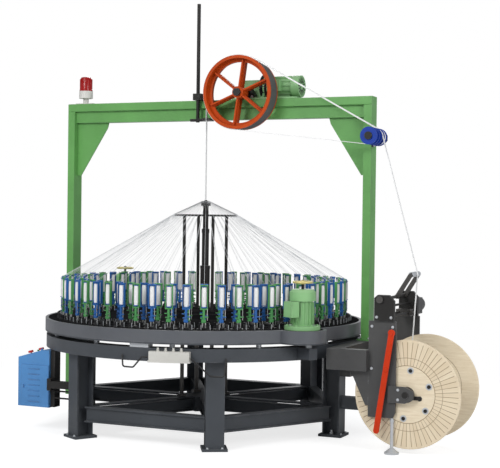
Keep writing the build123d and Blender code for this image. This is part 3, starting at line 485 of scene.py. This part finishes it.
link(tree, sums(tree, "SUBTRACT", sums(tree, "MULTIPLY", grain, 0.15), lines), relief.inputs["Height"])
link(tree, relief.outputs[0], skin.inputs["Normal"])
print("plywood nodes:", len(tree.nodes))

# %% [markdown]
# Glass yarn is white with a soft sheen. On a package it lies in close turns, and in the finished sleeve two
# sets of strands cross at a slant. Both patterns are waves that feed a Bump node: one set of level rings for
# packages, and two crossing sets for the sleeve, measured along its run. The same waves also darken the
# colour in their troughs, as painted shade in the grooves between the turns and strands.

# %% Wound yarn and braided sleeve
yarn_turn, reel_turn, strand_gap = 0.0024, 0.017, 0.006


def yarn_finish(name, pattern, colour=(0.80, 0.80, 0.78)):
    finish = bpy.data.materials.new(name)
    finish.use_nodes = True
    tree = finish.node_tree
    skin = tree.nodes["Principled BSDF"]
    coords = tree.nodes.new("ShaderNodeTexCoord").outputs["Object"]
    parts = tree.nodes.new("ShaderNodeSeparateXYZ")
    link(tree, coords, parts.inputs[0])
    if pattern == "turns":
        height = sums(tree, "SINE", sums(tree, "MULTIPLY", parts.outputs[2], 2 * pi / yarn_turn))
    elif pattern == "reel":
        height = sums(tree, "SINE", sums(tree, "MULTIPLY", parts.outputs[1], 2 * pi / reel_turn))
    else:
        run = sums(tree, "SUBTRACT", parts.outputs[2], sums(tree, "MULTIPLY", parts.outputs[0], 0.6))
        one = sums(tree, "ADD", run, parts.outputs[1])
        two = sums(tree, "SUBTRACT", run, parts.outputs[1])
        one = sums(tree, "SINE", sums(tree, "MULTIPLY", one, 2 * pi / strand_gap))
        two = sums(tree, "SINE", sums(tree, "MULTIPLY", two, 2 * pi / strand_gap))
        height = sums(tree, "MAXIMUM", one, two)
    worn = noise(tree, coords, 30, 5, 0.7)
    level = between(tree, height, -1, 1)
    # the troughs of the wave get a darker colour than its ridges: painted shade between the turns and
    # strands, with noise smudges mixed in
    dark = tuple(c * 0.80 for c in colour)
    painted_groove_shade, smudges = sums(tree, "MULTIPLY", level, 0.7), sums(tree, "MULTIPLY", worn, 0.3)
    lightness = sums(tree, "ADD", painted_groove_shade, smudges, clamp=True)
    link(tree, blend_colours(tree, lightness, dark, colour), skin.inputs["Base Color"])
    link(tree, between(tree, worn, 0.3, 0.7, 0.42, 0.62), skin.inputs["Roughness"])
    skin.inputs["Sheen Weight"].default_value = 0.3
    relief = add_node(tree, "ShaderNodeBump", Strength=0.5)
    relief.inputs["Distance"].default_value = 0.0006
    link(tree, level, relief.inputs["Height"])
    link(tree, relief.outputs[0], skin.inputs["Normal"])
    return finish


package_yarn = yarn_finish("Wound glass yarn", "turns", (0.84, 0.84, 0.83))
sleeve_yarn = yarn_finish("Braided sleeve", "weave", (0.86, 0.86, 0.85))
wound_sleeve = yarn_finish("Sleeve wound on the barrel", "reel", (0.80, 0.79, 0.75))
strand_yarn = yarn_finish("Glass strand", "turns", (0.80, 0.81, 0.82))
print("yarn finishes ready")

# %% [markdown]
# ## Finishes on the frame's own parts
# Every CAD part that stays visible gets one of these finishes. The list goes by part, as on a paint schedule.

# %% Paint schedule
schedule = {
    green_paint: "gantry_posts top_tube lower_beam",
    pale_green: "haul_gearbox haul_motor drive_motors fan_covers",
    slate_paint: "legs foot_plates base_beams ring_beam bed_base",
    rim_paint: "bed_rim",
    grey_plate: "take_up_frame side_plates take_up_motor",
    pulley_blue: "guide_pulley",
    blue_paint: "cabinet_shell cabinet_door",
    orange_paint: "haul_wheel",
    red_lever: "lever",
    deck_black: "deck hub_disc",
    black_steel: "rod_clamp guide_rod wheel_shaft bearing_block pulley_bracket cabinet_hanger upper_blocks "
                 "reel_hub thread_guide column quoits",
    dark_steel: "guide_roller_left guide_roller_right support_rods dancer traverse_carriage",
    zinc_plate: "anchor_bolts bed_spacers dancer_roller levelling_feet",
    brass: "handwheel_front handwheel_rear",
    beige_paint: "junction_box",
    white_plastic: "beacon_base bobbins",
    red_plastic: "emergency_stop stop_button",
    green_plastic: "start_button",
    cable_black: "cables",
    dark_rubber: "wheel_tread",
    lamp_red: "beacon_lens",
    plywood: "reel_flanges",
    wound_sleeve: "reel_barrel",
    sleeve_yarn: "braid",
    strand_yarn: "yarns",
    carrier_green: "carriers_green",
    carrier_blue: "carriers_blue",
}
painted = set()
for finish, names in schedule.items():
    for name in names.split():
        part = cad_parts[name]
        part.data.materials.clear()
        part.data.materials.append(finish)
        painted.add(name)
print("painted:", len(painted), "left:", sorted(set(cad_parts) - painted))

# %% [markdown]
# ## The yarn carriers
# Two carriers stand opposite each other on every horn gear, one green and one blue. A carrier has two steel
# foot pins, a cast bracket with a let-off lever, and a frame of two side bars with a cap. A small rod crosses
# the cap. One of each colour is modelled at the origin, then copied round the track.

# %% Where the carriers stand
gear_count, track_r = 56, 1.100
gear_pitch = 2 * track_r * sin(pi / gear_count)
deck_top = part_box("deck")[1][2]
foot_h, bracket_h, carrier_h = 0.048, 0.112, 0.330
carrier_w = 0.058
green_places, blue_places = [], []
for k in range(gear_count):
    # the two horns of a gear stand opposite each other, and each next gear starts half a turn on
    at = 2 * pi * k / gear_count
    for flip, places in ((0, green_places), (pi, blue_places)):
        a = at + flip + (0 if k % 2 == 0 else pi)
        x = track_r * cos(at) + gear_pitch / 2 * cos(a)
        y = track_r * sin(at) + gear_pitch / 2 * sin(a)
        places.append(upright(x, y, deck_top, atan2(y, x) + pi / 2))
print("carriers:", len(green_places) + len(blue_places))


# %% One carrier
def carrier(finish):
    """A carrier at the origin: w is half its width, z1 is where its package begins."""
    w = carrier_w / 2
    z1 = foot_h + bracket_h
    return [
        block((-0.020, -0.013, 0.0005), (0.020, 0.013, 0.012), black_steel, 0.002),
        block((-0.019, -0.011, foot_h), (0.015, 0.011, foot_h + 0.026), finish, 0.003),
        block((-0.010, -0.012, foot_h + 0.026), (0.008, 0.012, z1 - 0.014), finish, 0.003),
        block((-w, -0.013, z1 - 0.016), (w, 0.013, z1 - 0.004), finish, 0.002),
        block((-w, -0.011, z1 - 0.016), (-w + 0.0055, 0.011, carrier_h - 0.004), finish, 0.0015),
        block((w - 0.0055, -0.011, z1 - 0.016), (w, 0.011, carrier_h - 0.004), finish, 0.0015),
        block((-w - 0.001, -0.013, carrier_h - 0.012), (w + 0.001, 0.013, carrier_h - 0.002), finish),
        block((0.004, -0.017, foot_h + 0.040), (w + 0.004, -0.011, foot_h + 0.049), finish, 0.0015),
        block((-w - 0.003, -0.015, foot_h + 0.062), (-0.010, -0.010, foot_h + 0.070), finish, 0.0015),
        rod((-0.010, 0, 0.010), (-0.010, 0, foot_h + 0.004), 0.0045, bright_steel, 8),
        rod((0.012, 0, 0.010), (0.012, 0, foot_h + 0.004), 0.0045, bright_steel, 8),
        rod((w - 0.004, -0.014, foot_h + 0.020), (w - 0.004, -0.014, z1 - 0.010), 0.0026, bright_steel, 6),
        block((-w + 0.002, -0.004, foot_h + 0.030), (-0.010, 0.006, foot_h + 0.040), finish, 0.0015),
        block((0.008, -0.006, foot_h + 0.060), (w - 0.004, 0.004, foot_h + 0.070), guard_black, 0.0015),
        block((-w + 0.004, -0.009, foot_h + 0.012), (-0.019, -0.001, foot_h + 0.022), guard_black, 0.0015),
        rod((0, -0.013, carrier_h - 0.006), (0, 0.013, carrier_h - 0.006), 0.004, dark_steel, 8),
    ]


green_pieces = copies(carrier(carrier_green), green_places)
greens = join_as("carrier_frames_green", green_pieces, "machine", ["carriers_green"], 30)
blue_pieces = copies(carrier(carrier_blue), blue_places)
blues = join_as("carrier_frames_blue", blue_pieces, "machine", ["carriers_blue"], 30)

# %% [markdown]
# Each carrier holds a straight package of yarn between two flanges, with a coloured ratchet collar below. It
# is turned on the lathe helper with a slight belly, and copied to all the places at once.

# %% Yarn packages
package_r, package_len = 0.0190, 0.158
collar_r, flange_r = 0.0215, 0.0205
spool_foot, straight_up = (0, 0, foot_h + bracket_h), (0, 0, 1)
belly = [
    (0.0, 0.006), (package_r - 0.0025, 0.006), (package_r, 0.03), (package_r + 0.0004, 0.08),
    (package_r, 0.128), (package_r - 0.002, package_len - 0.008), (0.0, package_len - 0.008)]
collar_outline = [(0, 0), (collar_r, 0), (collar_r, 0.006), (0, 0.006)]
flange_outline = [(0, package_len - 0.006), (flange_r, package_len - 0.006), (flange_r, package_len - 0.001),
                  (0, package_len - 0.001)]
spool = [
    turned(belly, spool_foot, straight_up, package_yarn, 14),
    turned(collar_outline, spool_foot, straight_up, carrier_blue, 12),
    turned(flange_outline, spool_foot, straight_up, carrier_blue, 12),
]
packages = join_as("yarn_packages", copies(spool, green_places + blue_places), "machine", ["bobbins"], 40)

# %% [markdown]
# From every carrier one strand rises to the thread ring and goes on to the braiding point over the column.
# Each strand is two thin rods, a little thicker than true so that it doesn't vanish between pixels.

# %% Strands of yarn
ring_low, ring_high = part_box("thread_guide")
ring_r = (ring_high[0] - ring_low[0]) / 2 + 0.0018
ring_top = ring_high[2] + 0.0012
fell_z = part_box("column")[1][2] - 0.008
fell_r = 0.026
lower_strand_r, upper_strand_r = 0.0010, 0.0008
strands = []
for place in green_places + blue_places:
    foot = place.translation
    out = Vector((foot.x, foot.y, 0)).normalized()
    start = Vector((foot.x, foot.y, deck_top + carrier_h + 0.001))
    over = Vector((out.x * ring_r, out.y * ring_r, ring_top))
    end = Vector((out.x * fell_r, out.y * fell_r, fell_z))
    strands.append(rod(start, over, lower_strand_r, strand_yarn, 5))
    strands.append(rod(over, end, upper_strand_r, strand_yarn, 5))
strand_cone = join_as("yarn_strands", strands, "machine", ["yarns"], 80)

# %% [markdown]
# The deck carries a turned boss with a dark screw on each horn gear, and small black guards with a zinc pin
# stand along both sides of the track. They make the dark, busy band under the carriers.

# %% Gear bosses and track guards
boss_outline = [(0, 0), (0.032, 0), (0.032, 0.010), (0.022, 0.014), (0.022, 0.030), (0.014, 0.035),
                (0, 0.035)]
boss = [
    turned(boss_outline, (0, 0, 0), straight_up, guard_black, 14),
    rod((0, 0, 0.035), (0, 0, 0.041), 0.006, dark_steel, 6),
]
boss_places = []
for k in range(gear_count):
    a = 2 * pi * k / gear_count
    boss_places.append(upright(track_r * cos(a), track_r * sin(a), deck_top))
guard_outline = [(0, 0), (0.013, 0), (0.013, 0.006), (0.0075, 0.010), (0.0075, 0.028), (0.010, 0.031),
                 (0.010, 0.038), (0, 0.038)]
guard = [
    turned(guard_outline, (0, 0, 0), straight_up, guard_black, 10),
    rod((0.013, 0.004, 0.0), (0.013, 0.004, 0.036), 0.0028, zinc_plate, 6),
]
guard_count = 2 * gear_count
outer_guard_r, inner_guard_r = 1.196, 1.004
guard_places = []
for k in range(guard_count):
    a = 2 * pi * (k + 0.5) / guard_count
    for r in (outer_guard_r, inner_guard_r):
        guard_places.append(upright(r * cos(a), r * sin(a), deck_top))
bosses = join_as("gear_bosses", copies(boss, boss_places) + copies(guard, guard_places), "machine")

# %% [markdown]
# ## Bolts
# A hexagon head on a washer is modelled once. Flanges, brackets and plates get theirs from one list of points
# and directions, so that no bolted joint is left without its bolts.

# %% Hexagon bolts
def bolt(radius, height, finish):
    washer_r, washer_t, corner_z = radius * 1.45, height * 0.22, height * 0.85
    washer = [(0, 0), (washer_r, 0), (washer_r, washer_t), (0, washer_t)]
    head = [(0, height * 0.2), (radius, height * 0.2), (radius, corner_z), (radius * 0.8, height),
            (0, height)]
    return [
        turned(washer, (0, 0, 0), straight_up, finish, 14),
        turned(head, (0, 0, 0), straight_up, finish, 6),
    ]


print("bolt ready")

# %% Bolts on the still parts
bolt_r, bolt_h = 0.0075, 0.011
to_front, to_top = (0, -1, 0), (0, 0, 1)
near_plate_y, shaft_arm_y, top_block_y = -0.545, -0.565, -0.560
take_up_foot_z, clamp_y, bracket_y = 0.770, 0.100, 0.096
leg_plate_r, leg_plate_half, leg_plate_z = 1.2305, 0.055, 0.020
still_bolts = []
for x, z in ((1.636, 0.930), (1.636, 0.620), (1.795, 0.930)):
    still_bolts.append(facing((x, near_plate_y, z), to_front))
for x, z in ((1.846, 0.404), (1.846, 0.476)):
    still_bolts.append(facing((x, shaft_arm_y, z), to_front))
for x, z in ((1.675, 1.000), (1.785, 1.000)):
    still_bolts.append(facing((x, top_block_y, z), to_front))
for x in (1.318, 1.400):
    for y in (0.085, 0.225):
        still_bolts.append(facing((x, y, take_up_foot_z), to_top))
for x in (0.240, 0.360):
    still_bolts.append(facing((x, clamp_y, 2.712), to_front))
for x, z in ((1.425, 2.300), (1.425, 2.412)):
    still_bolts.append(facing((x, bracket_y, z), to_front))
for k in range(6):
    a = 2 * pi * k / 6
    for s in (-leg_plate_half, leg_plate_half):
        x = leg_plate_r * cos(a) - s * sin(a)
        y = leg_plate_r * sin(a) + s * cos(a)
        still_bolts.append(facing((x, y, leg_plate_z), to_top))
bolt_set = join_as("bolt_heads", copies(bolt(bolt_r, bolt_h, zinc_plate), still_bolts), "machine")

# %% [markdown]
# A black coupling with clamping ribs joins the haul-off motor to its gearbox, and short air vents stand round
# the end of the motor. All are turned or repeated round the motor's axis.

# %% Coupling and motor end
haul_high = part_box("haul_motor")[1]
axis_y, axis_z = 0.275, haul_high[2] - 0.090
coupling_x, coupling_r, waist_r, bore_r = 0.392, 0.104, 0.086, 0.04
along_x = (1, 0, 0)
rib_count, vent_count = 12, 16
coupling_outline = [
    (bore_r, 0), (coupling_r, 0), (coupling_r, 0.012), (waist_r, 0.016),
    (waist_r, 0.038), (coupling_r, 0.042), (coupling_r, 0.054), (bore_r, 0.054)]
coupling = [turned(coupling_outline, (coupling_x, axis_y, axis_z), along_x, guard_black, 36)]
coupling_rib = block((0.080, -0.004, 0.014), (0.100, 0.004, 0.040), guard_black, 0.001)
coupling_end = facing((coupling_x, axis_y, axis_z), along_x)
rib_places = [coupling_end @ Matrix.Rotation(2 * pi * k / rib_count, 4, "Z") for k in range(rib_count)]
coupling += copies([coupling_rib], rib_places)
vent = block((0.030, -0.0035, 0.0), (0.074, 0.0035, 0.003), guard_black, 0)
motor_end = facing((haul_high[0] - 0.001, axis_y, axis_z), along_x)
vent_places = [motor_end @ Matrix.Rotation(2 * pi * k / vent_count, 4, "Z") for k in range(vent_count)]
vents = copies([vent], vent_places)
motor_trim = join_as("motor_coupling", coupling, "machine")
motor_vents = join_as("motor_vents", vents, "machine")

# %% [markdown]
# ## The reel
# The reel sides are turned plywood discs with a slightly raised core disc, bolted through. They replace the
# plain CAD discs and keep their size. Galvanised bolts with round heads stand on the near side.

# %% Reel sides and their bolts
side_t, side_inner, reel_bore, core_raise = 0.0199, 0.020, 0.0253, 0.0015


def reel_side(y0, outward):
    core = reel_r * core_share
    outline = [
        (reel_bore, 0.002), (reel_r - 0.003, 0.002), (reel_r, 0.005), (reel_r, side_t - 0.003),
        (reel_r - 0.003, side_t), (core + 0.001, side_t), (core, side_t + core_raise),
        (reel_bore, side_t + core_raise), (reel_bore, 0.002)]
    return turned(outline, (reel_x, y0, reel_z), (0, outward, 0), plywood, 96)


near_side = reel_side(reel_low[1] + side_inner, -1)
far_side = reel_side(reel_high[1] - side_inner, 1)
sides = join_as("reel_sides", [near_side, far_side], "reel", ["reel_flanges"])

round_outline = [(0, 0), (0.025, 0), (0.025, 0.0025), (0.014, 0.0025), (0.012, 0.0070), (0, 0.0078)]
round_bolt = [turned(round_outline, (0, 0, 0), straight_up, zinc_plate, 18)]
bolt_circle_r, bolt_count, first_bolt = 0.178, 6, 22
reel_bolts = []
for k in range(bolt_count):
    a = radians(first_bolt + 360 / bolt_count * k)
    point = (reel_x + bolt_circle_r * cos(a), reel_low[1] - 0.0006, reel_z + bolt_circle_r * sin(a))
    reel_bolts.append(facing(point, to_front))
reel_heads = join_as("reel_bolt_heads", copies(round_bolt, reel_bolts), "reel")

# %% [markdown]
# ## The signal lamp
# The cap has upright ribs that break up its highlights. It is turned with a slight taper and a domed top, and
# a thin bevelled bar is copied round it for the ribs.

# %% Ribbed lamp cap
lens_low, lens_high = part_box("beacon_lens")
lens_x, lens_y = (lens_low[0] + lens_high[0]) / 2, (lens_low[1] + lens_high[1]) / 2
lens_r = (lens_high[0] - lens_low[0]) / 2
height = lens_high[2] - lens_low[2]
lens_ribs = 20
cap_outline = [
    (0, 0), (lens_r - 0.001, 0), (lens_r - 0.001, height * 0.08), (lens_r - 0.004, height * 0.1),
    (lens_r - 0.008, height * 0.88), (lens_r - 0.014, height * 0.97), (lens_r - 0.024, height), (0, height)]
cap = turned(cap_outline, (lens_x, lens_y, lens_low[2]), straight_up, lamp_red, 36)
rib_low, rib_high = (lens_r - 0.0105, -0.0016, height * 0.1), (lens_r - 0.003, 0.0016, height * 0.86)
rib = block(rib_low, rib_high, lamp_red, 0.0007)
ribs = copies([rib], [upright(lens_x, lens_y, lens_low[2], 2 * pi * k / lens_ribs) for k in range(lens_ribs)])
lamp = join_as("lamp_cap", [cap] + ribs, "machine", ["beacon_lens"])

# %% [markdown]
# ## Handwheels
# The two brass handwheels turn the drive by hand. Their rims are round in section, so each is a torus with
# three bevelled spokes and a hub, set on the dark stem.

# %% Brass handwheels
rim_tube_r, stem_r, spoke_count = 0.009, 0.0105, 3
wheel_up, stem_up, collar_up = 0.352, 0.216, 0.303


def handwheel(name, node):
    low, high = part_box(node)
    x, y = (low[0] + high[0]) / 2, (low[1] + high[1]) / 2
    r = (high[0] - low[0]) / 2
    z = deck_top + wheel_up
    clear_selection()
    bpy.ops.mesh.primitive_torus_add(
        major_radius=r - rim_tube_r, minor_radius=rim_tube_r, major_segments=36, minor_segments=10,
        location=(x, y, z))
    rim = bpy.context.object
    rim.data.materials.append(brass)
    hub_outline = [(0, -0.014), (0.022, -0.014), (0.022, 0.006), (0.016, 0.014), (0, 0.014)]
    hub = turned(hub_outline, (x, y, z), straight_up, brass, 18)
    stem = rod((x, y, deck_top + stem_up), (x, y, high[2] - 0.002), stem_r, black_steel, 14, 0.002)
    ring_outline = [(0, 0), (0.018, 0), (0.018, 0.022), (0, 0.022)]
    collar = turned(ring_outline, (x, y, deck_top + collar_up), straight_up, black_steel, 16)
    spoke = block((0.015, -0.008, -0.005), (r - 0.006, 0.008, 0.005), brass, 0.003)
    spokes = copies([spoke], [upright(x, y, z, 2 * pi * k / spoke_count) for k in range(spoke_count)])
    return join_as(name, [rim, hub, stem, collar] + spokes, node, [node], 50)


for name, node in (("front_handwheel", "handwheel_front"), ("rear_handwheel", "handwheel_rear")):
    handwheel(name, node)

# %% [markdown]
# ## Stage, light and camera
# The photograph is a cut-out on white with even, soft light. The floor glows to the camera alone and fades to
# pure white away from the machine, so a faint shadow stays near the feet. The backdrop reads as white to the
# camera but stays soft in reflections, and three large lamps give the painted steel broad highlights.

# %% Floor and backdrop
clear_selection()
bpy.ops.mesh.primitive_plane_add(size=80, location=(0, 0, -0.0005))
floor = bpy.context.object
floor.name = "floor"
floor_finish = bpy.data.materials.new("Pale floor")
floor_finish.use_nodes = True
tree = floor_finish.node_tree
skin = tree.nodes["Principled BSDF"]
skin.inputs["Roughness"].default_value = 0.9
skin.inputs["Specular IOR Level"].default_value = 0.0
seen_directly = tree.nodes.new("ShaderNodeLightPath").outputs["Is Camera Ray"]
from_middle = tree.nodes.new("ShaderNodeVectorMath")
from_middle.operation = "LENGTH"
link(tree, tree.nodes.new("ShaderNodeNewGeometry").outputs["Position"], from_middle.inputs[0])
fade_start, fade_end = 2.0, 4.5
lift = between(tree, from_middle.outputs["Value"], fade_start, fade_end, 0.76, 1.0)
fade = between(tree, from_middle.outputs["Value"], fade_start, fade_end)
near_tone = blend_colours(tree, fade, (0.42, 0.42, 0.42), (0.0, 0.0, 0.0))
link(tree, blend_colours(tree, seen_directly, (0.86, 0.86, 0.86), near_tone), skin.inputs["Base Color"])
skin.inputs["Emission Color"].default_value = (1, 1, 1, 1)
link(tree, sums(tree, "MULTIPLY", seen_directly, lift), skin.inputs["Emission Strength"])
floor.data.materials.append(floor_finish)

world = bpy.data.worlds.new("Studio")
bpy.context.scene.world = world
world.use_nodes = True
tree = world.node_tree
soft = tree.nodes["Background"]
soft.inputs["Color"].default_value = (0.93, 0.95, 1.0, 1)
soft.inputs["Strength"].default_value = 0.45
seen = tree.nodes.new("ShaderNodeBackground")
seen.inputs["Color"].default_value = (1, 1, 1, 1)
seen.inputs["Strength"].default_value = 1.0
rays = tree.nodes.new("ShaderNodeLightPath")
pick = sums(tree, "MAXIMUM", rays.outputs["Is Camera Ray"], rays.outputs["Is Transmission Ray"])
both = tree.nodes.new("ShaderNodeMixShader")
link(tree, pick, both.inputs[0])
link(tree, soft.outputs[0], both.inputs[1])
link(tree, seen.outputs[0], both.inputs[2])
link(tree, both.outputs[0], tree.nodes["World Output"].inputs[0])
print("stage set")


# %% Lamps
def soft_lamp(name, at, target, size, power):
    lamp = bpy.data.lights.new(name, "AREA")
    lamp.shape = "DISK"
    lamp.size = size
    lamp.energy = power
    holder = bpy.data.objects.new(name, lamp)
    bpy.context.collection.objects.link(holder)
    holder.location = at
    holder.rotation_euler = (Vector(at) - Vector(target)).to_track_quat("Z", "Y").to_euler()
    return holder


soft_lamp("key lamp", (-1.5, -8.5, 6.5), (0, 0, 1.2), 4.0, 470)
soft_lamp("side lamp", (8.5, -4.0, 4.5), (0.4, 0, 1.2), 4.0, 310)
soft_lamp("back lamp", (-3.0, 7.0, 5.5), (0, 0, 1.5), 4.0, 240)
print("lamps:", len(bpy.data.lights))

# %% [markdown]
# The camera stands where the photographer stood, found by matching the legs, the gantry and the bed in the
# photograph. That is about ten metres away with a long lens, at a standing person's eye level, with a slight
# lean to one side.

# %% Camera
# the eye in metres, the level direction of view, then the dip and the lean in radians
eye = Vector((4.545, -9.346, 1.729))
yaw_ahead = Vector((-0.4052, 0.9142, 0)).normalized()
dip, lean = 0.01427, 0.01287
ahead = Vector((yaw_ahead.x * cos(dip), yaw_ahead.y * cos(dip), -sin(dip)))
right = ahead.cross(Vector((0, 0, 1))).normalized()
above = right.cross(ahead)
right_leaned = right * cos(lean) + above * sin(lean)
above_leaned = above * cos(lean) - right * sin(lean)
lens = bpy.data.cameras.new("camera")
lens.lens = 90.35
lens.sensor_width = 36
lens.sensor_fit = "HORIZONTAL"
lens.clip_end = 200
camera = bpy.data.objects.new("camera", lens)
bpy.context.collection.objects.link(camera)
turn = Matrix((right_leaned, above_leaned, -ahead)).transposed()
camera.matrix_world = Matrix.Translation(eye) @ turn.to_4x4()
bpy.context.scene.camera = camera
bpy.context.scene.view_settings.view_transform = "Standard"
print("camera", round((eye.x ** 2 + eye.y ** 2) ** 0.5, 2), "m from the middle of the machine")
